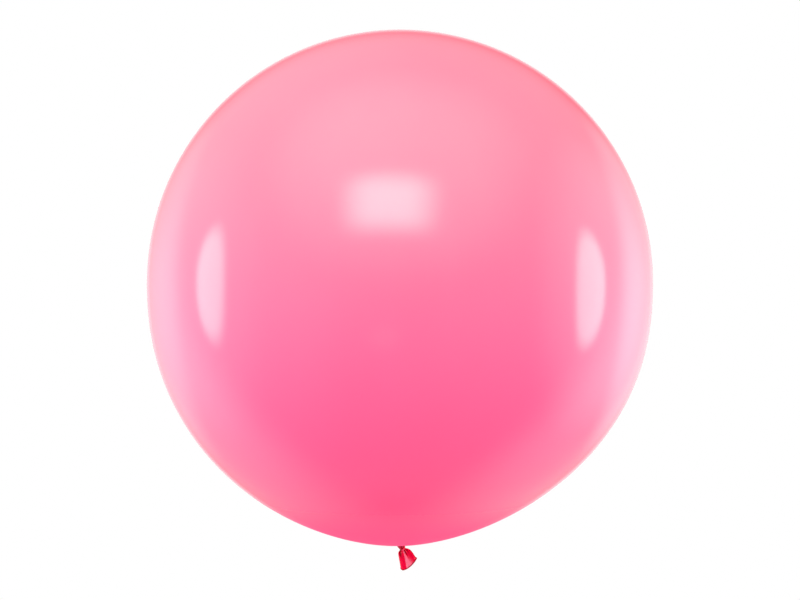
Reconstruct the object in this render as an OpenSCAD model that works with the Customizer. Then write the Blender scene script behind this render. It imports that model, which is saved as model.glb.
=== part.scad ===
// Giant round latex balloon, blown up and tied, in millimetres.
// Origin: the tie point, in the middle of the neck and on the balloon's axis. +Z points up to the crown.
// The knot and tail hang below it, and lean towards +X. The flat of the tail faces -Y and +Y.

/* [Round body] */
// Diameter at the widest place
body_d = 1000; // [700:10:1200]
// Height of the widest place above the foot of the round body
base_depth = 522; // [400:1:640]
// Fullness of the lower half at its sides, where 2 is an ellipse
side_fullness = 1.78; // [1.6:0.01:2.2]
// Fullness of the lower half at its foot, where 2 is an ellipse
foot_fullness = 2.2; // [1.8:0.01:2.6]
// Wall of the stretched film, thickened so that it can be meshed
film = 0.9; // [0.8:0.1:1.5]

/* [Crown] */
// Diameter of the thicker patch at the crown
crown_d = 90; // [40:5:160]
// Wall of the crown patch
crown_film = 1.3; // [1:0.1:2]

/* [Shoulder] */
// Diameter of the thicker ring round the neck
shoulder_d = 120; // [70:5:200]
// Wall of the shoulder
shoulder_film = 1.5; // [1:0.1:2]
// Radius at which the body turns down to the neck
turn_r = 4; // [2:0.5:4]

/* [Neck] */
// Drop from the foot of the round body to the tie point
neck_drop = 5; // [4.5:0.5:8]
// Diameter at the top of the neck, where it meets the shoulder
neck_top_d = 16; // [14:0.5:24]
// Diameter at the tie point
neck_tie_d = 9; // [6:0.5:10]
// Lean of the neck from straight down, towards +X
neck_lean = 16; // [0:1:18]

/* [Knot] */
// Thickness of the strand that makes the wrap
strand_d = 5.4; // [4:0.2:7]
// Diameter of the wrap, along the middle of the strand
wrap_d = 8.8; // [7.2:0.2:10]
// Lean of the knot from straight down, towards +X
knot_lean = 32; // [0:1:34]

/* [Tail] */
// Width across the flattened mouth
tail_w = 36; // [26:1:48]
// Width of the tail where it leaves the knot
pinch_w = 14.4; // [10:0.2:20]
// Length over which the tail opens out
open_l = 6; // [4:0.5:10]
// Length from the tail's bend to the middle of its mouth
tail_l = 30; // [20:1:44]
// Thickness at the bend
tail_t = 11; // [9:0.5:14]
// Thickness at the mouth
mouth_t = 9; // [7:0.5:13]
// Wall of the tail
tail_wall = 1.2; // [0.8:0.1:1.6]
// Lean of the tail from straight down, towards +X
tail_lean = 27; // [0:1:45]
// How much further the middle of the mouth reaches than its ends
mouth_bulge = 6; // [0:0.5:9]
// How much further the lower end of the mouth reaches than the middle's line
mouth_skew = 3.5; // [0:0.5:6]

/* [Rolled lip] */
// Thickness of the bead
lip_d = 2.6; // [1.8:0.1:4]

/* [Flexure clearance] */
// Gap that stands for the soft bend between two bodies
flex_gap = 0.4; // [0.3:0.05:0.8]

/* [Hidden] */

body_r = body_d / 2;
equator_z = neck_drop + base_depth;
crown_angle = asin(crown_d / body_d);
shoulder_turn = acos(pow(shoulder_d / body_d, side_fullness / 2));
neck_top_r = neck_top_d / 2;
neck_tie_r = neck_tie_d / 2;
lip_ring_r = neck_top_r + flex_gap + shoulder_film + turn_r;
lip_ring_turn = acos(pow(lip_ring_r / body_r, side_fullness / 2));
lip_ring_z = equator_z - base_depth * pow(sin(lip_ring_turn), 2 / foot_fullness);
shoulder_foot_z = lip_ring_z - turn_r;
// The neck's round head is as wide as its top at the shoulder's foot, and fills the shoulder
head_r = norm([neck_top_r, shoulder_foot_z]);
// Highest flat top that the round head may have, as a share of its radius
head_share = 0.9;
head_top_h = min(head_r * head_share, lip_ring_z + shoulder_film);
// The head's rim splits the lean between the side that rises and the side that drops
head_rim_h = shoulder_foot_z + neck_top_r * tan(neck_lean) / 2;
strand_r = strand_d / 2;
wrap_r = wrap_d / 2;
// The wrap sits as close under the neck's round end as the gap allows
wrap_drop = sqrt(pow(neck_tie_r + flex_gap + strand_r, 2) - wrap_r * wrap_r);
// The tail's top is square to its own lean, so it needs room where the knot leans otherwise
tilt_room = (wrap_r + strand_r) * abs(sin(knot_lean - tail_lean));
tail_drop = wrap_drop + strand_r + flex_gap + tilt_room + tail_t / 2;

// Squareness of the tail's section, where 1 is an ellipse
tail_squareness = 0.8;
// Share of the tail's round top that is kept, so that it ends in no sharp edge
tail_top_share = 0.94;
// Least half width of the pocket inside the tail
pocket_half_t = 0.3;

round_steps = 60;
crown_steps = 4;
turn_steps = 8;
tail_sides = 40;
tail_rings = 14;
pocket_rings = 10;
lip_sides = 10;

film_pink = "#FF7AA8";
thick_pink = "#FB5C92";
neck_crimson = "#B0062C";
knot_crimson = "#C80F3C";
tail_red = "#E3103F";
lip_red = "#A3072B";

// A point of the body's upper half, at an angle from the crown and a depth below the skin
function upper_point(angle, depth) = [
    (body_r - depth) * sin(angle),
    equator_z + (body_r - depth) * cos(angle)
];

// A point of the body's lower half, at a turn from the widest place and a depth below the skin
function lower_point(turn, depth) = [
    (body_r - depth) * pow(cos(turn), 2 / side_fullness),
    equator_z - (base_depth - depth) * pow(sin(turn), 2 / foot_fullness)
];

function upper_run(from, to, steps, depth) = [
    for (i = [0:steps]) upper_point(from + (to - from) * i / steps, depth)
];

function lower_run(from, to, steps, depth) = [
    for (i = [0:steps]) lower_point(from + (to - from) * i / steps, depth)
];

// The round corner by which the shoulder turns down to the neck
function turn_run(depth) = [
    for (i = [1:turn_steps])
        let (angle = 90 * i / turn_steps, r = turn_r + depth)
        [lip_ring_r - r * sin(angle), lip_ring_z - turn_r + r * cos(angle)]
];

function reversed(list) = [for (i = [len(list) - 1:-1:0]) list[i]];

module spun(outer, inner) {
    rotate_extrude($fn = 180)
        polygon(concat(outer, reversed(inner)));
}

// What hangs below the shoulder is made upright and leans towards +X
module leaning(lean) {
    rotate([0, -lean, 0]) children();
}

module crown_patch() {
    color(thick_pink)
        spun(
            upper_run(0, crown_angle, crown_steps, 0),
            upper_run(0, crown_angle, crown_steps, crown_film)
        );
}

module envelope() {
    color(film_pink)
        spun(
            concat(
                upper_run(crown_angle, 90, round_steps, 0),
                lower_run(shoulder_turn / round_steps, shoulder_turn, round_steps - 1, 0)
            ),
            concat(
                upper_run(crown_angle, 90, round_steps, film),
                lower_run(shoulder_turn / round_steps, shoulder_turn, round_steps - 1, film)
            )
        );
}

// The mouth of the shoulder is a round socket about the tie point
module shoulder() {
    color(thick_pink)
        difference() {
            spun(
                concat(lower_run(shoulder_turn, lip_ring_turn, turn_steps, 0), turn_run(0)),
                concat(
                    lower_run(shoulder_turn, lip_ring_turn, turn_steps, shoulder_film),
                    turn_run(shoulder_film)
                )
            );
            sphere(r = head_r + flex_gap, $fn = 96);
        }
}

// Half outline of the neck: a round head that turns in the shoulder, a cone,
// and a round end at the tie point
module neck_outline() {
    intersection() {
        union() {
            circle(r = neck_tie_r, $fn = 64);
            intersection() {
                circle(r = head_r, $fn = 96);
                polygon([
                    [0, 0],
                    [neck_tie_r, 0],
                    [head_r, head_rim_h],
                    [head_r, head_top_h],
                    [0, head_top_h]
                ]);
            }
        }
        translate([0, -neck_tie_d])
            square([2 * head_r, neck_tie_d + head_r]);
    }
}

module neck() {
    color(neck_crimson)
        leaning(neck_lean)
            rotate_extrude($fn = 96)
                neck_outline();
}

module wrap_ring() {
    translate([0, 0, -wrap_drop])
        rotate_extrude($fn = 96)
            translate([wrap_r, 0])
                circle(r = strand_r, $fn = 48);
}

module knot_wrap() {
    color(knot_crimson)
        leaning(knot_lean)
            wrap_ring();
}

// The strand pulled through the wrap fills the wrap's eye and spreads below it
module knot_tuck() {
    eye_top = neck_tie_r + flex_gap;
    knot_foot = wrap_drop + strand_r;
    color(neck_crimson)
        leaning(knot_lean)
            difference() {
                translate([0, 0, -knot_foot])
                    cylinder(r = wrap_r, h = knot_foot - eye_top, $fn = 64);
                wrap_ring();
            }
}

// Half width and half thickness of the tail at a distance below its bend
function tail_half_w(s) =
    tail_w / 2 - (tail_w - pinch_w) / 2 * exp(-(s + tail_t / 2) / open_l);

function tail_half_t(s) =
    s < 0
        ? sqrt(max(0, pow(tail_t / 2, 2) - s * s))
        : (tail_t + (mouth_t - tail_t) * min(1, s / tail_l)) / 2;

// Signed power, which squares a round section off
function squared(v, p) = sign(v) * pow(abs(v), p);

// How far the mouth reaches below the bend, across its width from -1 to 1
function mouth_reach(across) =
    tail_l - mouth_skew * across - mouth_bulge * across * across;

// A point of the tail: round it by angle, along it from 0 at the knot to 1 at the mouth,
// at a depth in the wall
function tail_point(angle, along, depth) =
    let (
        across = squared(cos(angle), tail_squareness),
        through = squared(sin(angle), tail_squareness),
        top = -tail_t / 2 * tail_top_share,
        s = top + (mouth_reach(across) - top) * along
    )
    [
        across * (tail_half_w(s) - depth),
        through * max(pocket_half_t, tail_half_t(s) - depth),
        -s
    ];

function tail_ring(along, depth) = [
    for (i = [0:tail_sides - 1]) tail_point(360 * i / tail_sides, along, depth)
];

// Middle of a ring's points
function middle(ring) = [
    for (axis = [0:2]) [for (p = ring) p[axis]] * [for (p = ring) 1 / len(ring)]
];

// Closes a stack of rings into a solid, with a fan of triangles at each end
module ring_stack(rings) {
    sides = len(rings[0]);
    last = len(rings) - 1;
    first_hub = sides * len(rings);
    last_hub = first_hub + 1;
    polyhedron(
        points = concat(
            [for (ring = rings) for (p = ring) p],
            [middle(rings[0]), middle(rings[last])]
        ),
        faces = [
            for (i = [0:sides - 1])
                let (j = (i + 1) % sides)
                for (face = concat(
                    [[first_hub, i, j], [last_hub, last * sides + j, last * sides + i]],
                    [
                        for (r = [0:last - 1]) for (half = [
                            [r * sides + i, (r + 1) * sides + i, r * sides + j],
                            [r * sides + j, (r + 1) * sides + i, (r + 1) * sides + j]
                        ]) half
                    ]
                )) face
        ]
    );
}

// The tail's own frame has its bend at the origin
module at_tail_bend() {
    leaning(knot_lean)
        translate([0, 0, -tail_drop])
            leaning(tail_lean - knot_lean)
                children();
}

// A flattened tube, closed where it leaves the knot and open at the mouth
module tail() {
    color(tail_red)
        at_tail_bend()
            ring_stack(concat(
                [for (i = [0:tail_rings]) tail_ring(i / tail_rings, 0)],
                [
                    for (i = [0:pocket_rings])
                        tail_ring(1 - i / tail_rings, tail_wall)
                ]
            ));
}

// The bead runs round the mouth, over the edge of the tail's wall
function lip_centre(angle) = tail_point(angle, 1, tail_wall / 2);

function unit(v) = v / norm(v);

function lip_ring(angle) =
    let (
        here = lip_centre(angle),
        ahead = unit(lip_centre(angle + 2) - lip_centre(angle - 2)),
        side = unit(cross(ahead, [0, 0, 1])),
        up = cross(side, ahead)
    )
    [
        for (i = [0:lip_sides - 1])
            let (turn = 360 * i / lip_sides)
            here + lip_d / 2 * (cos(turn) * side + sin(turn) * up)
    ];

module rolled_lip() {
    rings = [for (i = [0:tail_sides - 1]) lip_ring(360 * i / tail_sides)];
    color(lip_red)
        at_tail_bend()
            polyhedron(
                points = [for (ring = rings) for (p = ring) p],
                faces = [
                    for (r = [0:tail_sides - 1])
                        for (i = [0:lip_sides - 1])
                            let (
                                j = (i + 1) % lip_sides,
                                a = r * lip_sides,
                                b = (r + 1) % tail_sides * lip_sides
                            )
                            for (face = [
                                [a + i, a + j, b + i],
                                [a + j, b + j, b + i]
                            ]) face
                ]
            );
}

crown_patch();
envelope();
shoulder();
neck();
knot_wrap();
knot_tuck();
tail();
rolled_lip();
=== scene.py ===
import math

import bpy
import numpy as np
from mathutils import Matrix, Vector


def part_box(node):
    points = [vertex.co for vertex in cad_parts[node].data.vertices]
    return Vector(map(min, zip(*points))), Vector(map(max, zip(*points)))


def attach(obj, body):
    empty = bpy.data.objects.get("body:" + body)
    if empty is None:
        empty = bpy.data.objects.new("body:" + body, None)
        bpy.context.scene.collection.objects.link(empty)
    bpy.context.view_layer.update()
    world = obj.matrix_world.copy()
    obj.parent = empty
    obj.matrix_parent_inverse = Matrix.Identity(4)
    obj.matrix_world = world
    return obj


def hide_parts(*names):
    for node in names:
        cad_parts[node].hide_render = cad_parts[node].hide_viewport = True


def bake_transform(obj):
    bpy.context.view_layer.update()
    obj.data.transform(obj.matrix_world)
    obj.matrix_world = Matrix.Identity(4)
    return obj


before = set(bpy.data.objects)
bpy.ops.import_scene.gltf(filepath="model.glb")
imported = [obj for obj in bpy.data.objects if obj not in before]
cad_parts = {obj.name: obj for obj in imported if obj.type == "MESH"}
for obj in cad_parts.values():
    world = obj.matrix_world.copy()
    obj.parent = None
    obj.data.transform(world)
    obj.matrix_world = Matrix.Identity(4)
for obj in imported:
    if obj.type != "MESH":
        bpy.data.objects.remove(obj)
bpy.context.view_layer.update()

# Blown skin. The one film of natural rubber latex, dipped on a round former, vulcanised and blown up
# to about a metre across. It is thin and even at the sides, and thicker at the crown and where it
# runs down into the neck. It makes the body, the crown and the shoulder in one closed surface.


def add(tree, kind, links=None, **settings):
    """Adds a node to a tree, sets its properties, and sets or links its inputs."""
    node = tree.nodes.new(kind)
    for name, value in settings.items():
        setattr(node, name, value)
    for key, value in (links or {}).items():
        if isinstance(value, bpy.types.NodeSocket):
            tree.links.new(value, node.inputs[key])
        else:
            node.inputs[key].default_value = value
    return node


def linear(hex_colour):
    """Linear colour with alpha from an sRGB hex value."""
    channels = [int(hex_colour[i:i + 2], 16) / 255 for i in (1, 3, 5)]
    return [c / 12.92 if c <= 0.04045 else ((c + 0.055) / 1.055) ** 2.4 for c in channels] + [1]


def work_out(tree, known, steps):
    """Adds a chain of Math nodes. A step is its name, an operation and its values or earlier names."""
    for name, operation, *values in steps:
        sockets = {i: known.get(v, v) for i, v in enumerate(values)}
        known[name] = add(tree, "ShaderNodeMath", sockets, operation=operation).outputs[0]
    return known


def sized_tree(name, sizes):
    """A geometry tree with named number inputs, and its Group Input node."""
    tree = bpy.data.node_groups.new(name, "GeometryNodeTree")
    tree.interface.new_socket("Geometry", in_out="INPUT", socket_type="NodeSocketGeometry")
    for label in sizes:
        tree.interface.new_socket(label, in_out="INPUT", socket_type="NodeSocketFloat")
    tree.interface.new_socket("Geometry", in_out="OUTPUT", socket_type="NodeSocketGeometry")
    return tree, add(tree, "NodeGroupInput")


def close_tree(tree, geometry, material):
    """Ends a geometry tree in real geometry that carries its material."""
    real = add(tree, "GeometryNodeRealizeInstances", {0: geometry})
    coated = add(tree, "GeometryNodeSetMaterial", {0: real.outputs[0], "Material": material})
    add(tree, "NodeGroupOutput", {0: coated.outputs[0]})


def grow(name, tree, sizes, points=()):
    """Runs a geometry tree once, on a closed or open run of points, and keeps the plain mesh."""
    path = bpy.data.meshes.new(name)
    path.from_pydata(points, [(i, i + 1) for i in range(len(points) - 1)], [])
    piece = bpy.data.objects.new(name, path)
    bpy.context.scene.collection.objects.link(piece)
    modifier = piece.modifiers.new(name, "NODES")
    modifier.node_group = tree
    for socket in tree.interface.items_tree:
        if socket.name in sizes:
            modifier[socket.identifier] = sizes[socket.name]
    bpy.context.view_layer.update()
    evaluated = piece.evaluated_get(bpy.context.evaluated_depsgraph_get())
    mesh = bpy.data.meshes.new_from_object(evaluated)
    piece.modifiers.clear()
    piece.data = mesh
    return piece


body_low, body_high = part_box("envelope")
body_r = (body_high.x - body_low.x) / 2
widest_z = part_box("crown_patch")[1].z - body_r
FOOT_Z = 0.005

SKIN = {
    "Radius": body_r,
    "Widest height": widest_z,
    "Lower depth": widest_z - FOOT_Z,
    "Side fullness": 1.78,
    "Foot fullness": 2.2,
    "Neck radius": 0.0050,
    "Turn reach": 0.0070,
    "Turn drop": 0.0022,
    "Pleats": 16.0,
    "Pleat depth": 0.055,
    "Pucker reach": 0.030,
    "Pucker height": 0.0006,
    "Foot sway": 0.0088,
    "Sway height": 0.19,
    "Thick foot reach": 0.012,
    "Crown spot": 0.040,
    "Crown height": 0.0010,
    "Waviness": 0.0010,
}
AROUND, RINGS = 288, 200
UNEVEN_PLEATS, CROWN_THICK, CLOSED_TIP = 1.3, 0.22, 0.004
WAVES_PER_METRE, SEAM_GAP = 2.6, 0.00001

# Pastel latex film, dipped and vulcanised. White pigment in the rubber scatters light both ways, so
# the film glows from inside and looks paler where light falls on it. Its skin is smooth and glossy,
# with faint runs from the dip and fine pores, which are drawn coarser than real ones to show at all.
LATEX_IOR, SKIN_GLOSS = 1.52, 0.11
RUN_WIDTH, RUN_LENGTH, PORE = 0.110, 0.620, 0.0024
# Painted light from above: heights where the film's painted colour is palest and where it is deepest
PALE_ABOVE, DEEP_BELOW = 0.85, 0.15
MATT_BELOW, MATT_FULL, MATT = 0.14, 0.03, 0.45
LIGHT_THROUGH = 0.45
film = bpy.data.materials.new("Pastel latex film")
film.use_nodes = True
film.node_tree.nodes.clear()
shade = film.node_tree
thickness = add(shade, "ShaderNodeAttribute", attribute_name="thickness").outputs["Fac"]
place = add(shade, "ShaderNodeTexCoord").outputs["Object"]
run_scale = (1 / RUN_WIDTH, 1 / RUN_WIDTH, 1 / RUN_LENGTH)
run_map = add(shade, "ShaderNodeMapping", {"Vector": place, "Scale": run_scale})
runs = add(
    shade, "ShaderNodeTexNoise",
    {"Vector": run_map.outputs[0], "Scale": 1.0, "Detail": 3.0, "Roughness": 0.55},
)
pores = add(
    shade, "ShaderNodeTexNoise",
    {"Vector": place, "Scale": 1 / PORE, "Detail": 2.0, "Roughness": 0.6},
)
height = add(shade, "ShaderNodeSeparateXYZ", {0: place}).outputs["Z"]
# Painted light from above: the film is painted paler towards the top and deeper towards the bottom
painted_top_light = add(
    shade, "ShaderNodeMapRange",
    {"Value": height, "From Min": PALE_ABOVE, "From Max": DEEP_BELOW},
    interpolation_type="SMOOTHSTEP",
)
body_face = add(
    shade, "ShaderNodeMix",
    {0: painted_top_light.outputs[0], 6: linear("#ff8ca1"), 7: linear("#ff6cac")},
    data_type="RGBA",
)
face = add(
    shade, "ShaderNodeMix",
    {0: thickness, 6: body_face.outputs[2], 7: linear("#d5063e")},
    data_type="RGBA",
)
patchy = add(
    shade, "ShaderNodeMapRange",
    {"Value": runs.outputs["Fac"], "From Min": 0.3, "From Max": 0.7, "To Min": 0.0, "To Max": 0.06},
)
face_patchy = add(
    shade, "ShaderNodeMix",
    {0: patchy.outputs[0], 6: face.outputs[2], 7: linear("#ff4d82")},
    data_type="RGBA",
)
sheen = add(
    shade, "ShaderNodeMapRange",
    {"Value": pores.outputs["Fac"], "From Min": 0.3, "From Max": 0.7, "To Min": 0.10, "To Max": 0.13},
)
# Towards the neck the film is less stretched, so its skin is not pulled smooth and looks matt
unstretched = add(
    shade, "ShaderNodeMapRange",
    {"Value": height, "From Min": MATT_BELOW, "From Max": MATT_FULL},
    interpolation_type="SMOOTHSTEP",
)
roughness = add(
    shade, "ShaderNodeMath", {0: unstretched.outputs[0], 1: MATT, 2: sheen.outputs[0]},
    operation="MULTIPLY_ADD",
)
pulled_smooth = add(
    shade, "ShaderNodeMath", {0: 1.0, 1: unstretched.outputs[0]}, operation="SUBTRACT",
)
gloss = add(
    shade, "ShaderNodeBsdfPrincipled",
    {"Base Color": face_patchy.outputs[2], "Roughness": roughness.outputs[0],
     "IOR": LATEX_IOR, "Coat Weight": pulled_smooth.outputs[0], "Coat Roughness": SKIN_GLOSS,
     "Coat IOR": LATEX_IOR},
)
inner_face = add(
    shade, "ShaderNodeMix",
    {0: thickness, 6: linear("#ff5aa0"), 7: linear("#b00024")},
    data_type="RGBA",
)
glow = add(shade, "ShaderNodeBsdfTranslucent", {"Color": inner_face.outputs[2]})
both = add(shade, "ShaderNodeMixShader", {0: LIGHT_THROUGH, 1: gloss.outputs[0], 2: glow.outputs[0]})
add(shade, "ShaderNodeOutputMaterial", {"Surface": both.outputs[0]})

skin_tree, given = sized_tree("Blown skin", SKIN)
sheet = add(
    skin_tree, "GeometryNodeMeshGrid",
    {"Size X": 1.0, "Size Y": 1.0, "Vertices X": AROUND + 1, "Vertices Y": RINGS + 1},
)
flat = add(
    skin_tree, "ShaderNodeSeparateXYZ",
    {0: add(skin_tree, "GeometryNodeInputPosition").outputs[0]},
)
known = {label: given.outputs[label] for label in SKIN}
known.update(x=flat.outputs["X"], y=flat.outputs["Y"])
work_out(skin_tree, known, [
    # Round the body, and the angle up from the foot, with rings that crowd towards the neck
    ("turn", "MULTIPLY", "x", math.tau),
    ("left", "SUBTRACT", 0.5, "y"),
    ("crowded", "MULTIPLY", "left", "left"),
    ("angle", "MULTIPLY", "crowded", math.pi),
    ("sine", "SINE", "angle"),
    ("wide", "MAXIMUM", "sine", 0.0),
    ("low", "COSINE", "angle"),
    ("depth", "MAXIMUM", "low", 0.0),
    ("lower", "GREATER_THAN", "low", 0.0),
    # The upper half is round, and the lower half follows its two fullnesses
    ("side power", "DIVIDE", 2.0, "Side fullness"),
    ("foot power", "DIVIDE", 2.0, "Foot fullness"),
    ("wide low", "POWER", "wide", "side power"),
    ("deep low", "POWER", "depth", "foot power"),
    ("wide change", "SUBTRACT", "wide low", "wide"),
    ("wide share", "MULTIPLY_ADD", "wide change", "lower", "wide"),
    ("body radius", "MULTIPLY", "wide share", "Radius"),
    ("upper rise", "MULTIPLY", "low", "Radius"),
    ("lower fall", "MULTIPLY", "deep low", "Lower depth"),
    ("fall change", "SUBTRACT", "lower fall", "upper rise"),
    ("fall", "MULTIPLY_ADD", "fall change", "lower", "upper rise"),
    ("body height", "SUBTRACT", "Widest height", "fall"),
    # The film turns down into the neck, where it gathers in pleats that pucker the skin round it
    ("radius four", "POWER", "body radius", 4.0),
    ("neck four", "POWER", "Neck radius", 4.0),
    ("neck here", "MULTIPLY", "neck four", "lower"),
    ("both four", "ADD", "radius four", "neck here"),
    ("held radius", "POWER", "both four", 0.25),
    ("reach share", "DIVIDE", "body radius", "Turn reach"),
    ("reach square", "MULTIPLY", "reach share", "reach share"),
    ("reach minus", "MULTIPLY", "reach square", -1.0),
    ("near neck", "EXPONENT", "reach minus"),
    ("near foot", "MULTIPLY", "near neck", "lower"),
    ("turned", "MULTIPLY", "near foot", "Turn drop"),
    ("pleat turn", "MULTIPLY", "turn", "Pleats"),
    ("third turn", "MULTIPLY", "turn", 3.0),
    ("third wave", "SINE", "third turn"),
    ("uneven turn", "MULTIPLY_ADD", "third wave", UNEVEN_PLEATS, "pleat turn"),
    ("pleat wave", "COSINE", "uneven turn"),
    ("pucker share", "DIVIDE", "body radius", "Pucker reach"),
    ("pucker minus", "MULTIPLY", "pucker share", -1.0),
    ("pucker fade", "EXPONENT", "pucker minus"),
    ("pucker foot", "MULTIPLY", "pucker fade", "lower"),
    ("pleat size", "MULTIPLY", "pleat wave", "pucker foot"),
    ("pleat pinch", "MULTIPLY", "pleat size", "Pleat depth"),
    ("pleat scale", "ADD", "pleat pinch", 1.0),
    ("pleated radius", "MULTIPLY", "held radius", "pleat scale"),
    ("pucker", "MULTIPLY", "pleat size", "Pucker height"),
    # A low spot marks the crown, where the former's tip left the film thicker
    ("crown share", "DIVIDE", "body radius", "Crown spot"),
    ("crown square", "MULTIPLY", "crown share", "crown share"),
    ("crown minus", "MULTIPLY", "crown square", -1.0),
    ("crown fade", "EXPONENT", "crown minus"),
    ("upper", "SUBTRACT", 1.0, "lower"),
    ("crown near", "MULTIPLY", "crown fade", "upper"),
    ("crown rise", "MULTIPLY", "crown near", "Crown height"),
    # The mouth of the skin closes inside the neck, and the foot sits a little to one side
    ("closing", "GREATER_THAN", "left", CLOSED_TIP),
    ("radius", "MULTIPLY", "pleated radius", "closing"),
    ("height turned", "SUBTRACT", "body height", "turned"),
    ("height puckered", "ADD", "height turned", "pucker"),
    ("height", "ADD", "height puckered", "crown rise"),
    ("sway share", "DIVIDE", "body height", "Sway height"),
    ("sway square", "MULTIPLY", "sway share", "sway share"),
    ("sway minus", "MULTIPLY", "sway square", -1.0),
    ("sway fade", "EXPONENT", "sway minus"),
    ("off neck", "SUBTRACT", 1.0, "pucker foot"),
    ("sway off neck", "MULTIPLY", "sway fade", "off neck"),
    ("sway", "MULTIPLY", "sway off neck", "Foot sway"),
    ("cosine round", "COSINE", "turn"),
    ("sine round", "SINE", "turn"),
    ("place x", "MULTIPLY", "radius", "cosine round"),
    ("swayed x", "SUBTRACT", "place x", "sway"),
    ("place y", "MULTIPLY", "radius", "sine round"),
    # Thickness left in the film, from 0 on the sides to 1 at the neck
    ("past neck", "SUBTRACT", "held radius", "Neck radius"),
    ("thick share", "DIVIDE", "past neck", "Thick foot reach"),
    ("thick minus", "MULTIPLY", "thick share", -1.0),
    ("thick fade", "EXPONENT", "thick minus"),
    ("thick foot", "MULTIPLY", "thick fade", "lower"),
    ("thick", "MULTIPLY_ADD", "crown near", CROWN_THICK, "thick foot"),
])
spot = add(
    skin_tree, "ShaderNodeCombineXYZ",
    {0: known["swayed x"], 1: known["place y"], 2: known["height"]},
).outputs[0]
wave = add(
    skin_tree, "ShaderNodeTexNoise", {"Vector": spot, "Scale": WAVES_PER_METRE, "Detail": 1.0},
)
middle = add(
    skin_tree, "ShaderNodeVectorMath",
    {0: spot, 1: (0.0, 0.0, widest_z)}, operation="SUBTRACT",
)
outward = add(skin_tree, "ShaderNodeVectorMath", {0: middle.outputs[0]}, operation="NORMALIZE")
work_out(skin_tree, known, [
    ("wave even", "SUBTRACT", wave.outputs["Fac"], 0.5),
    ("wave off neck", "MULTIPLY", "wave even", "off neck"),
    ("wave", "MULTIPLY", "wave off neck", "Waviness"),
])
waved = add(
    skin_tree, "ShaderNodeVectorMath",
    {0: outward.outputs[0], "Scale": known["wave"]}, operation="SCALE",
)
final = add(skin_tree, "ShaderNodeVectorMath", {0: spot, 1: waved.outputs[0]}, operation="ADD")
thick_skin = add(
    skin_tree, "GeometryNodeStoreNamedAttribute",
    {"Geometry": sheet.outputs[0], "Name": "thickness", "Value": known["thick"]},
)
shaped = add(
    skin_tree, "GeometryNodeSetPosition",
    {"Geometry": thick_skin.outputs[0], "Position": final.outputs[0]},
)
sewn = add(
    skin_tree, "GeometryNodeMergeByDistance", {"Geometry": shaped.outputs[0], "Distance": SEAM_GAP},
)
smooth = add(skin_tree, "GeometryNodeSetShadeSmooth", {"Geometry": sewn.outputs[0]})
close_tree(skin_tree, smooth.outputs[0], film)

skin = grow("skin", skin_tree, SKIN)
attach(skin, "balloon")
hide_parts("crown_patch", "envelope", "shoulder")

# Neck. The stem of the balloon below the shoulder, never stretched, twisted and gathered into a
# narrow bundle by the knot. Its film is many times thicker than the skin's, so its colour is deep.


def lathe(name, rings, material):
    """A closed mesh from a stack of rings of points, with a fan at each end, faces outwards."""
    sides = len(rings[0])
    points = [tuple(p) for ring in rings for p in ring]
    faces = []
    for r in range(len(rings) - 1):
        a, b = r * sides, (r + 1) * sides
        faces += [(a + i, a + (i + 1) % sides, b + (i + 1) % sides, b + i) for i in range(sides)]
    first, last = len(points), len(points) + 1
    points += [tuple(np.mean(rings[0], axis=0)), tuple(np.mean(rings[-1], axis=0))]
    end = (len(rings) - 1) * sides
    faces += [(first, (i + 1) % sides, i) for i in range(sides)]
    faces += [(last, end + i, end + (i + 1) % sides) for i in range(sides)]
    mesh = bpy.data.meshes.new(name)
    mesh.from_pydata(points, [], faces)
    mesh.materials.append(material)
    mesh.polygons.foreach_set("use_smooth", [True] * len(mesh.polygons))
    mesh.update()
    piece = bpy.data.objects.new(name, mesh)
    bpy.context.scene.collection.objects.link(piece)
    return piece


def keep_folds(piece, folds):
    """Stores each point's fold value, from 0 on a ridge or painted highlight to 1 in a crease or
    painted shade, which the material paints pale to dark.
    """
    values = list(folds) + [0.5] * (len(piece.data.vertices) - len(folds))
    layer = piece.data.attributes.new("fold", "FLOAT", "POINT")
    layer.data.foreach_set("value", values)


# Thick latex dries with a fine orange-peel grain, drawn about 1 mm across so that it shows
GRAIN = 0.0011


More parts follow.
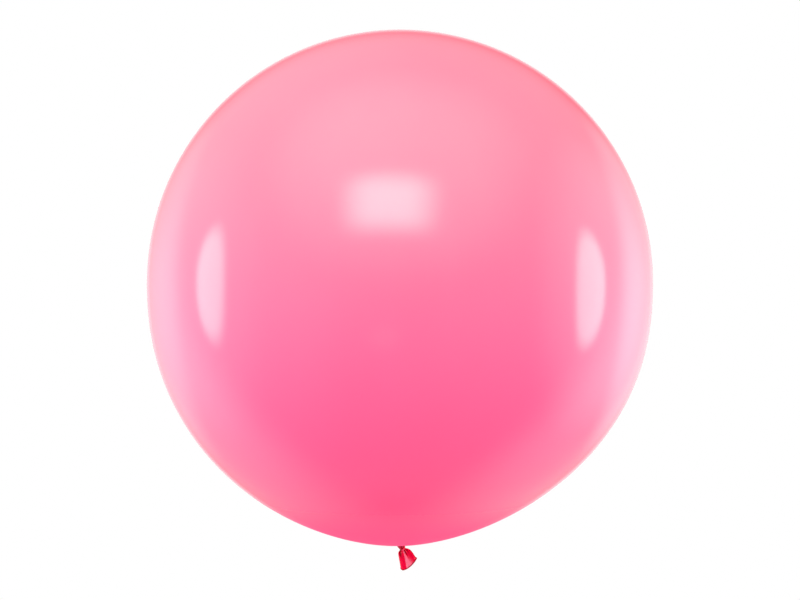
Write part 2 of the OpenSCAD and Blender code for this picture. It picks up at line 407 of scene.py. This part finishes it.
def thick_latex(name, ridge, panel, crease, roughness):
    """Unstretched latex: many times the skin's thickness, so its dye is deep, its gloss satin."""
    material = bpy.data.materials.new(name)
    material.use_nodes = True
    material.node_tree.nodes.clear()
    shade = material.node_tree
    fold = add(shade, "ShaderNodeAttribute", attribute_name="fold").outputs["Fac"]
    place = add(shade, "ShaderNodeTexCoord").outputs["Object"]
    grain = add(
        shade, "ShaderNodeTexNoise",
        {"Vector": place, "Scale": 1 / GRAIN, "Detail": 3.0, "Roughness": 0.6},
    )
    # Painted highlight and painted shade: the colour is painted pale on a ridge and darkest in a crease
    painted_ridge_highlight = add(shade, "ShaderNodeMapRange", {"Value": fold, "From Max": 0.5})
    painted_crease_shade = add(shade, "ShaderNodeMapRange", {"Value": fold, "From Min": 0.5})
    open_face = add(
        shade, "ShaderNodeMix", {0: painted_ridge_highlight.outputs[0], 6: linear(ridge), 7: linear(panel)},
        data_type="RGBA",
    )
    colour = add(
        shade, "ShaderNodeMix", {0: painted_crease_shade.outputs[0], 6: open_face.outputs[2], 7: linear(crease)},
        data_type="RGBA",
    )
    rough = add(
        shade, "ShaderNodeMapRange",
        {"Value": grain.outputs["Fac"], "From Min": 0.3, "From Max": 0.7,
         "To Min": roughness - 0.03, "To Max": roughness + 0.03},
    )
    dimples = add(
        shade, "ShaderNodeBump",
        {"Height": grain.outputs["Fac"], "Strength": 0.12, "Distance": 0.0002},
    )
    latex = add(
        shade, "ShaderNodeBsdfPrincipled",
        {"Base Color": colour.outputs[2], "Roughness": rough.outputs[0], "IOR": LATEX_IOR,
         "Specular Tint": linear("#ff4864"), "Normal": dimples.outputs[0],
         "Subsurface Weight": 0.3, "Subsurface Radius": (0.0025, 0.0004, 0.0006),
         "Subsurface Scale": 1.0},
    )
    add(shade, "ShaderNodeOutputMaterial", {"Surface": latex.outputs[0]})
    return material


def folded(angle, count, uneven, bluntness=0.7):
    """Unevenly spaced pleats round a gathered bundle, from 0 in a crease to 1 on a ridge."""
    wave = 0.5 + 0.5 * np.cos(count * angle + uneven * np.sin(2 * angle + 0.7))
    return wave ** bluntness


# Deep crimson, with painted shade making it almost wine red in the pleats and a painted highlight on
# their ridges, and satin: the neck is too tightly drawn to shine much
neck_latex = thick_latex("Gathered neck latex", "#d2083a", "#b40022", "#7c0008", 0.30)
NECK_TOP, NECK_FOOT, NECK_ROUND = 0.0064, -0.0066, 0.0030
NECK_MID_X, NECK_SLANT, NECK_MID_R, NECK_TAPER = 0.0030, -0.49, 0.0071, 0.32
NECK_PLEATS, NECK_UNEVEN, NECK_WRING, NECK_IN, NECK_OUT = 13, 0.9, 1.1, 0.92, 0.10
NECK_SIDES, NECK_RINGS, BLUNT_TIP = 120, 48, 0.02
neck_angle = np.linspace(0, math.tau, NECK_SIDES, endpoint=False)
neck_rings, neck_folds = [], []
for z in np.linspace(NECK_TOP, NECK_FOOT, NECK_RINGS):
    drop = (NECK_TOP - z) / (NECK_TOP - NECK_FOOT)
    ridge = folded(neck_angle + NECK_WRING * drop, NECK_PLEATS, NECK_UNEVEN)
    end = max(0, 1 - (z - NECK_FOOT) / NECK_ROUND)
    dome = math.sqrt(max(BLUNT_TIP, 1 - end ** 2))
    reach = (NECK_MID_R + NECK_TAPER * z) * dome * (NECK_IN + NECK_OUT * ridge)
    neck_rings.append(np.stack([
        NECK_MID_X + NECK_SLANT * z + reach * np.cos(neck_angle),
        reach * np.sin(neck_angle),
        np.full_like(neck_angle, z),
    ], axis=1))
    neck_folds += list(1 - ridge)
neck_rings = [ring[::-1] for ring in neck_rings]
neck_folds = list(np.reshape(neck_folds, (len(neck_rings), -1))[:, ::-1].ravel())
neck = lathe("gathered_neck", neck_rings, neck_latex)
keep_folds(neck, neck_folds)
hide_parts("neck")
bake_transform(neck)

# Knot. The neck's own bundle, taken once round the neck and pulled through. The wrap is a twisted
# strand that closes on itself, and the tuck is what was pulled through its eye.
RING_LEAN = math.radians(56)
ring_axis = Vector((math.sin(RING_LEAN), 0, -math.cos(RING_LEAN)))
ring_rise = Vector((math.cos(RING_LEAN), 0, math.sin(RING_LEAN)))
wrap_low, wrap_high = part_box("knot_wrap")
RING_SHIFT = Vector((0.0030, 0, 0.0017))
ring_middle = (wrap_low + wrap_high) / 2 + RING_SHIFT
RING_R, RING_OVAL, RING_TWIST = 0.0047, 0.0003, 0.0007
# The strand was stretched when it was tied, so it is pinker than the neck and shines more; its pink is
# partly painted highlight, and its rib grooves are painted dark as painted shade
knot_latex = thick_latex("Tied knot latex", "#ff6c92", "#ff3262", "#9c0018", 0.20)
WRAP = {
    "Strand radius": 0.0023,
    "Strand ribs": 5.0,
    "Rib depth": 0.16,
    "Rib twist": 26.0,
}
WRAP_POINTS, STRAND_SIDES, STRAND_UNEVEN = 96, 40, 0.8

wrap_path = []
for i in range(WRAP_POINTS + 1):
    turn = math.tau * i / WRAP_POINTS
    reach = RING_R + RING_OVAL * math.sin(2 * turn + 0.6)
    rise = RING_TWIST * math.sin(turn + 0.9)
    wrap_path.append(
        ring_middle + reach * math.cos(turn) * ring_rise + reach * math.sin(turn) * Vector((0, 1, 0))
        - rise * ring_axis
    )

strand_tree, given = sized_tree("Twisted strand", WRAP)
run = add(strand_tree, "GeometryNodeMeshToCurve", {0: given.outputs["Geometry"]})
along = add(strand_tree, "GeometryNodeSplineParameter")
tagged = add(
    strand_tree, "GeometryNodeStoreNamedAttribute",
    {"Geometry": run.outputs[0], "Name": "along", "Value": along.outputs["Factor"]},
)
ring = add(strand_tree, "GeometryNodeCurvePrimitiveCircle", {"Resolution": STRAND_SIDES})
round_it = add(strand_tree, "GeometryNodeSplineParameter")
ring_tagged = add(
    strand_tree, "GeometryNodeStoreNamedAttribute",
    {"Geometry": ring.outputs[0], "Name": "round", "Value": round_it.outputs["Factor"]},
)
tube = add(
    strand_tree, "GeometryNodeCurveToMesh",
    {"Curve": tagged.outputs[0], "Profile Curve": ring_tagged.outputs[0],
     "Scale": given.outputs["Strand radius"], "Fill Caps": True},
)
known = {label: given.outputs[label] for label in WRAP}
known["along"] = add(
    strand_tree, "GeometryNodeInputNamedAttribute", {"Name": "along"}, data_type="FLOAT",
).outputs["Attribute"]
known["round"] = add(
    strand_tree, "GeometryNodeInputNamedAttribute", {"Name": "round"}, data_type="FLOAT",
).outputs["Attribute"]
work_out(strand_tree, known, [
    ("round turn", "MULTIPLY", "round", math.tau),
    ("rib turn", "MULTIPLY", "round turn", "Strand ribs"),
    ("twist", "MULTIPLY", "along", "Rib twist"),
    ("slow turn", "MULTIPLY", "round turn", 2.0),
    ("slow wave", "SINE", "slow turn"),
    ("uneven", "MULTIPLY_ADD", "slow wave", STRAND_UNEVEN, "rib turn"),
    ("twisted", "ADD", "uneven", "twist"),
    ("wave", "COSINE", "twisted"),
    ("ridge", "MULTIPLY_ADD", "wave", 0.5, 0.5),
    ("fold", "SUBTRACT", 1.0, "ridge"),
    ("rib", "MULTIPLY", "fold", "Rib depth"),
    ("rib in", "MULTIPLY", "rib", "Strand radius"),
    ("inward", "MULTIPLY", "rib in", -1.0),
])
push = add(
    strand_tree, "ShaderNodeVectorMath",
    {0: add(strand_tree, "GeometryNodeInputNormal").outputs[0], "Scale": known["inward"]},
    operation="SCALE",
)
# The fold value paints the rib tops pale and the rib grooves dark: painted highlight and painted shade
creased = add(
    strand_tree, "GeometryNodeStoreNamedAttribute",
    {"Geometry": tube.outputs[0], "Name": "fold", "Value": known["fold"]},
)
ribbed = add(
    strand_tree, "GeometryNodeSetPosition", {"Geometry": creased.outputs[0], "Offset": push.outputs[0]},
)
strand_smooth = add(strand_tree, "GeometryNodeSetShadeSmooth", {"Geometry": ribbed.outputs[0]})
close_tree(strand_tree, strand_smooth.outputs[0], knot_latex)

wrap = grow("knot_wrap_strand", strand_tree, WRAP, wrap_path)
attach(wrap, "knot")
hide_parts("knot_wrap")

TUCK_FROM, TUCK_TO = Vector((0.0062, 0, -0.0050)), Vector((0.0072, 0, -0.0084))
TUCK_R, TUCK_IN, TUCK_OUT = 0.0022, 0.86, 0.16
TUCK_PLEATS, TUCK_UNEVEN, TUCK_WRING = 11, 0.8, -0.8
TUCK_SIDES, TUCK_RINGS = 96, 20
tuck_angle = np.linspace(0, math.tau, TUCK_SIDES, endpoint=False)
tuck_rings, tuck_folds = [], []
for along in np.linspace(0, 1, TUCK_RINGS):
    centre = TUCK_FROM.lerp(TUCK_TO, along)
    ridge = folded(tuck_angle + TUCK_WRING * along, TUCK_PLEATS, TUCK_UNEVEN)
    reach = TUCK_R * (TUCK_IN + TUCK_OUT * ridge)
    tuck_rings.append(np.array([
        centre + Vector((r * math.cos(a), r * math.sin(a), 0)) for a, r in zip(tuck_angle, reach)
    ])[::-1])
    tuck_folds += list((1 - ridge)[::-1])
tuck = lathe("knot_tuck_bundle", tuck_rings, knot_latex)
keep_folds(tuck, tuck_folds)
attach(tuck, "knot")
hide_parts("knot_tuck")

# Tail. The end of the neck that is left below the knot: a flattened sleeve, open at its mouth,
# pleated where the knot pinches it and smooth where it opens out.
TAIL_LEAN = math.radians(24)
tail_axis = Vector((math.sin(TAIL_LEAN), 0, -math.cos(TAIL_LEAN)))
tail_side = Vector((math.cos(TAIL_LEAN), 0, math.sin(TAIL_LEAN)))
PINCH = Vector((0.0058, 0, -0.0038))
TAIL_TOP, TAIL_WALL = -0.0015, 0.0010
TAIL_SIDES, TAIL_RINGS, POCKET, POCKET_RINGS = 400, 80, 0.45, 20
SQUARENESS = 0.8
# The mouth is cut askew and bowed, with one corner rounded off
MOUTH_DOWN, MOUTH_SKEW, MOUTH_BOW, CORNER_CUT, CORNER_WIDTH = 0.0360, 0.0050, 0.0040, 0.0050, 0.3
# Half widths, left and right: at the pinch, growth for each metre down, share pinched in and reach
LEFT_WIDTH, LEFT_GROWTH, LEFT_PINCH, LEFT_REACH = 0.0116, 0.24, 0.55, 0.0017
RIGHT_WIDTH, RIGHT_GROWTH, RIGHT_PINCH, RIGHT_REACH = 0.0143, 0.10, 0.62, 0.0046
TIP_FLARE, TIP_REACH = 0.0012, 0.0020
HALF_THICK, MOUTH_THIN, LEAST_THICK = 0.0054, 0.0010, 0.0004
PINCH_THIN, PINCH_REACH = 0.0030, 0.0030
TAIL_BOW, BOW_WAVE, BOW_TURN = 0.0007, 3.3, 0.6
# The ridge: where it starts across, how far left it runs for each metre down, how far it stands and
# how soon, and how widely it falls away to its right and to its left
CREST_START, CREST_RUN, CREST_STAND, CREST_REACH = -0.05, 9.5, 0.0036, 0.005
CREST_RIGHT, CREST_SPREAD, CREST_LEFT = 0.30, 10.0, 0.9
# The painted highlight band on its right flank: its soft edge, width and strength, with their growth
# downwards
BAND_EDGE, BAND_WIDTH, BAND_SPREAD, BAND_PALE, BAND_GROWTH = 0.07, 0.13, 19, 0.6, 18
# How dark the painted shade in a crease and at a side edge is, and how pale the painted highlight on a
# crease's flank and at the mouth's tip is
CREASE_DEEP, FLANK_PALE, FLANK_OFF = 1.8, 0.6, 1.9
EDGE_DEEP, EDGE_WIDTH = 0.7, 0.12
TIP_PALE, TIP_MIDDLE, TIP_WIDTH, TIP_LENGTH = 0.6, 0.86, 0.10, 0.004
# Creases: where across, how deep, how wide, and how far down they reach
FRONT_CREASES = (
    (0.17, 0.0030, 0.09, 0.016),
    (-0.64, 0.0022, 0.20, 0.010),
    (0.55, 0.0012, 0.10, 0.007),
)
BACK_CREASES = (
    (-0.45, 0.0018, 0.12, 0.010),
    (0.05, 0.0022, 0.12, 0.013),
    (0.55, 0.0016, 0.12, 0.008),
)


def tail_mouth(across):
    """How far the mouth is below the pinch, across its width from -1 to 1."""
    corner = min(1, max(0, (CORNER_WIDTH - 1 - across) / CORNER_WIDTH))
    cut = CORNER_CUT * (1 - math.sqrt(1 - corner ** 2))
    return MOUTH_DOWN - MOUTH_SKEW * across - MOUTH_BOW * across ** 2 - cut


def crease_at(across, down, middle, width, reach):
    """How deep in one crease a point lies, from 0 to 1, and how far down the crease it is."""
    share = math.exp(-(max(down, 0) / reach) ** 2)
    return share * math.exp(-((across - middle) / width) ** 2), share


def front_relief(across, down, left):
    """The front face's folds: how far it stands out, and its painted shade and highlight, from 0 for
    palest to 1 for darkest.
    """
    # One long ridge runs from the pinch to the mouth, gently up from the left and sharply down
    off = across - CREST_START + CREST_RUN * down
    grown = 1 - math.exp(-(down + 0.001) / CREST_REACH)
    fall = math.exp(-off / (CREST_RIGHT + CREST_SPREAD * down) if off > 0 else off / CREST_LEFT)
    stand = CREST_STAND * grown * fall
    # Its right flank is painted pale, more so towards the mouth: a painted highlight
    flank = min(1, max(0, off / BAND_EDGE + 0.5))
    band = math.exp(-(max(off, 0) / (BAND_WIDTH + BAND_SPREAD * down)) ** 4)
    pale = flank * band * (BAND_PALE + BAND_GROWTH * down)
    # Short creases fan out from the pinch, each painted dark as painted shade, with a painted highlight
    # on the flank to its left
    deep = 0
    for middle, size, width, reach in FRONT_CREASES:
        crease, share = crease_at(across, down, middle, width, reach)
        stand -= size * crease
        deep += CREASE_DEEP * crease
        beside = (across - middle) / width + FLANK_OFF
        pale += FLANK_PALE * share * math.exp(-beside ** 2)
    # The edges turn away and are painted dark as painted shade, and the tip of the mouth flares and is
    # painted pale as a painted highlight
    deep += EDGE_DEEP * max(0, (abs(across) - 1 + EDGE_WIDTH) / EDGE_WIDTH)
    tip = ((across - TIP_MIDDLE) / TIP_WIDTH) ** 2 + (left / TIP_LENGTH) ** 2
    pale += TIP_PALE * math.exp(-tip)
    return stand, min(1, max(0, 0.5 + 0.5 * deep - 0.5 * pale))


def back_relief(across, down):
    """The back face's creases, which fan out from the pinch and die away, and the painted shade that
    darkens them.
    """
    stand, deep = 0, 0
    for middle, size, width, reach in BACK_CREASES:
        crease = crease_at(across, down, middle, width, reach)[0]
        stand -= size * crease
        deep += crease
    return stand, min(1, 0.4 + 0.6 * deep)


def tail_point(angle, along, depth):
    """A point of the sleeve and its fold: round it, along it from 0 to 1, in from its outer face."""
    across = math.copysign(abs(math.cos(angle)) ** SQUARENESS, math.cos(angle))
    through = math.copysign(abs(math.sin(angle)) ** SQUARENESS, math.sin(angle))
    down = TAIL_TOP + (tail_mouth(across) - TAIL_TOP) * along
    left = tail_mouth(across) - down
    if across < 0:
        half_width = LEFT_WIDTH + LEFT_GROWTH * down
        half_width *= 1 - LEFT_PINCH * math.exp(-(down + 0.001) / LEFT_REACH)
    else:
        half_width = RIGHT_WIDTH + RIGHT_GROWTH * down
        half_width *= 1 - RIGHT_PINCH * math.exp(-down / RIGHT_REACH)
        half_width += TIP_FLARE * math.exp(-left / TIP_REACH)
    pinched = PINCH_THIN * math.exp(-(down - TAIL_TOP) / PINCH_REACH)
    half_thick = HALF_THICK - pinched - MOUTH_THIN * along ** 2
    relief, fold = front_relief(across, down, left) if through < 0 else back_relief(across, down)
    half_thick = max(LEAST_THICK, half_thick + relief - depth)
    bow = TAIL_BOW * math.sin(BOW_WAVE * across + BOW_TURN) * along
    place = PINCH + tail_axis * down + tail_side * across * (half_width - depth)
    return place + Vector((0, through * half_thick + bow, 0)), fold


# The tail was never stretched, so its red is full, and pressed flat it dries with a soft shine
# Its pale ridge colour is painted highlight and its dark crease colour is painted shade
tail_latex = thick_latex("Flat tail latex", "#ff86a2", "#ea0040", "#7c000e", 0.22)
stations = [(k / TAIL_RINGS, 0.0) for k in range(TAIL_RINGS + 1)]
stations += [(1 - POCKET * k / POCKET_RINGS, TAIL_WALL) for k in range(POCKET_RINGS + 1)]
tail_rings, tail_folds = [], []
for along, depth in stations:
    made = [tail_point(math.tau * i / TAIL_SIDES, along, depth) for i in range(TAIL_SIDES)]
    tail_rings.append(np.array([place for place, fold in made]))
    tail_folds += [fold for place, fold in made]
tail = lathe("tail_sleeve", tail_rings, tail_latex)
keep_folds(tail, tail_folds)
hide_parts("tail")
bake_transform(tail)

# Rolled lip. The bead that the mouth was rolled into while the latex was still wet. It is the thickest
# latex on the balloon, so it is nearly wine red; that dark red also stands in for the bead's shaded
# side as painted shade, and its rib grooves are painted darker still.
bead_latex = thick_latex("Rolled bead latex", "#c0082e", "#b0062a", "#780016", 0.24)
BEAD = {"Strand radius": 0.0012, "Strand ribs": 5.0, "Rib depth": 0.05, "Rib twist": 9.0}
BEAD_POINTS = 200
bead_path = [
    tail_point(math.tau * i / BEAD_POINTS, 1.0, TAIL_WALL / 2)[0] for i in range(BEAD_POINTS + 1)
]
bead_tree = strand_tree.copy()
bead_tree.nodes["Set Material"].inputs["Material"].default_value = bead_latex
bead = grow("mouth_bead", bead_tree, BEAD, bead_path)
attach(bead, "tail")
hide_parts("rolled_lip")

# Stage. A pale floor well below the balloon, which only shows from above.
FLOOR_DROP, FLOOR_R = 1.3, 2.6
bpy.ops.mesh.primitive_circle_add(vertices=96, radius=FLOOR_R, fill_type="NGON")
floor = bpy.context.object
floor.name = "floor"
floor.location.z = -FLOOR_DROP
floor_paint = bpy.data.materials.new("Pale matt floor")
floor_paint.use_nodes = True
floor_paint.node_tree.nodes.clear()
shade = floor_paint.node_tree
matt = add(shade, "ShaderNodeBsdfDiffuse", {"Color": linear("#f2efee")})
clear = add(shade, "ShaderNodeBsdfTransparent")
side = add(shade, "ShaderNodeNewGeometry").outputs["Backfacing"]
seen = add(shade, "ShaderNodeMixShader", {0: side, 1: matt.outputs[0], 2: clear.outputs[0]})
add(shade, "ShaderNodeOutputMaterial", {"Surface": seen.outputs[0]})
floor.data.materials.append(floor_paint)
floor.visible_glossy = False
floor.visible_diffuse = False

# Light. A white room behind the balloon, a bright ceiling, a window box in front and above, and
# a narrow box on each side.
world = bpy.data.worlds.new("White studio")
bpy.context.scene.world = world
world.use_nodes = True
world.node_tree.nodes.clear()
sky = world.node_tree
ray = add(sky, "ShaderNodeTexCoord").outputs["Generated"]
ROOM = {
    # part of the room: the way to its middle, the cosines where it starts and where it is full,
    # its colour and its brightness
    "room": ((0, -0.92, 0.39), -1.0, -0.4, "#ffffff", 0.717),
    "ceiling": ((0, 0, 1), 0.5, 1.0, "#fffaf0", 0.224),
    "high front": ((0, -0.6, 0.8), 0.5, 1.0, "#fffaf0", 1.48),
    "backdrop": ((0, 1, 0), 0.90, 0.98, "#ffffff", 1.05),
    "left panel": ((-0.643, 0.766, 0), 0.88, 0.97, "#ffffff", 0.48),
    "right panel": ((0.643, 0.766, 0), 0.88, 0.97, "#ffffff", 0.85),
    "left low": ((-0.60, 0.62, -0.50), 0.66, 0.98, "#ffffff", 0.85),
    "right low": ((0.60, 0.62, -0.50), 0.66, 0.98, "#ffffff", 1.00),
    "left wall": ((-0.95, 0, 0.31), 0.0, 1.0, "#ffffff", 0.58),
    "left side": ((-0.98, 0.2, 0), 0.7, 1.0, "#ffffff", 0.60),
    "right side": ((0.98, 0.2, 0), 0.7, 1.0, "#ffffff", 1.35),
}
parts = []
for label, (way, start, full, colour, brightness) in ROOM.items():
    towards = add(sky, "ShaderNodeVectorMath", {0: ray, 1: way}, operation="DOT_PRODUCT")
    fade = add(
        sky, "ShaderNodeMapRange",
        {"Value": towards.outputs["Value"], "From Min": start, "From Max": full,
         "To Max": brightness},
        interpolation_type="SMOOTHSTEP",
    )
    parts.append(add(
        sky, "ShaderNodeBackground", {"Color": linear(colour), "Strength": fade.outputs[0]},
        name=label, label=label,
    ).outputs[0])
total = parts[0]
for part in parts[1:]:
    total = add(sky, "ShaderNodeAddShader", {0: total, 1: part}).outputs[0]
white = add(sky, "ShaderNodeBackground", {"Color": (1, 1, 1, 1), "Strength": 1.0})
straight = add(sky, "ShaderNodeLightPath").outputs["Is Camera Ray"]
shown = add(sky, "ShaderNodeMixShader", {0: straight, 1: total, 2: white.outputs[0]})
add(sky, "ShaderNodeOutputWorld", {"Surface": shown.outputs[0]})

BOXES = {
    # name: shape, middle, width, height, brightness and how far its edge fades, as a share of it
    "window box": ("RECTANGLE", (-0.18, -2.30, 1.97), 2.34, 1.62, 6.9, 0.38),
    "left strip": ("ELLIPSE", (-2.20, -0.27, 0.56), 0.82, 1.56, 4.95, 0.22),
    "right strip": ("ELLIPSE", (2.20, -0.24, 0.50), 0.84, 1.56, 5.2, 0.20),
    "low card": ("ELLIPSE", (-0.27, -2.40, -0.24), 0.70, 0.52, 0.42, 0.30),
}
# Every box has the same slightly warm tube behind its silk
TUBE_COLOUR = (1.0, 0.96, 0.85)
aim = Vector((0, 0, widest_z))
for label, (shape, middle, width, height, brightness, soft) in BOXES.items():
    lamp = bpy.data.lights.new(label, "AREA")
    lamp.shape = shape
    lamp.size, lamp.size_y = width, height
    area = width * height * (math.pi / 4 if shape == "ELLIPSE" else 1)
    lamp.energy = math.pi * area * brightness
    lamp.color = TUBE_COLOUR
    lamp.use_nodes = True
    front = lamp.node_tree
    front.nodes.clear()
    spot = add(front, "ShaderNodeNewGeometry").outputs["Parametric"]
    if shape == "ELLIPSE":
        off = add(front, "ShaderNodeVectorMath", {0: spot, 1: (0.5, 0.5, 0)}, operation="DISTANCE")
        bright = add(
            front, "ShaderNodeMapRange",
            {"Value": off.outputs["Value"], "From Min": 0.5, "From Max": 0.5 - soft},
            interpolation_type="SMOOTHSTEP",
        ).outputs[0]
    else:
        bright = 1.0
        for way in add(front, "ShaderNodeSeparateXYZ", {0: spot}).outputs[:2]:
            edge = add(front, "ShaderNodeMath", {0: way, 1: 0.5}, operation="PINGPONG")
            fade = add(
                front, "ShaderNodeMapRange", {"Value": edge.outputs[0], "From Max": soft},
                interpolation_type="SMOOTHSTEP",
            )
            bright = add(
                front, "ShaderNodeMath", {0: fade.outputs[0], 1: bright}, operation="MULTIPLY",
            ).outputs[0]
    silk = add(front, "ShaderNodeEmission", {"Strength": bright})
    add(front, "ShaderNodeOutputLight", {"Surface": silk.outputs[0]})
    holder = bpy.data.objects.new(label, lamp)
    holder.location = middle
    holder.rotation_euler = (aim - Vector(middle)).to_track_quat("-Z", "Y").to_euler()
    holder.visible_camera = False
    bpy.context.scene.collection.objects.link(holder)

# Camera. Level with the balloon's widest place and four metres off, looking a little down.
CAMERA_OFF, AIM_Z, LENS = 4.0, 0.493, 90.4
lens = bpy.data.cameras.new("studio camera")
lens.lens, lens.sensor_width = LENS, 36
camera = bpy.data.objects.new("studio camera", lens)
camera.location = (0, -CAMERA_OFF, widest_z)
look = Vector((0, 0, AIM_Z)) - camera.location
camera.rotation_euler = look.to_track_quat("-Z", "Y").to_euler()
bpy.context.scene.collection.objects.link(camera)
bpy.context.scene.camera = camera
bpy.context.scene.view_settings.view_transform = "Standard"
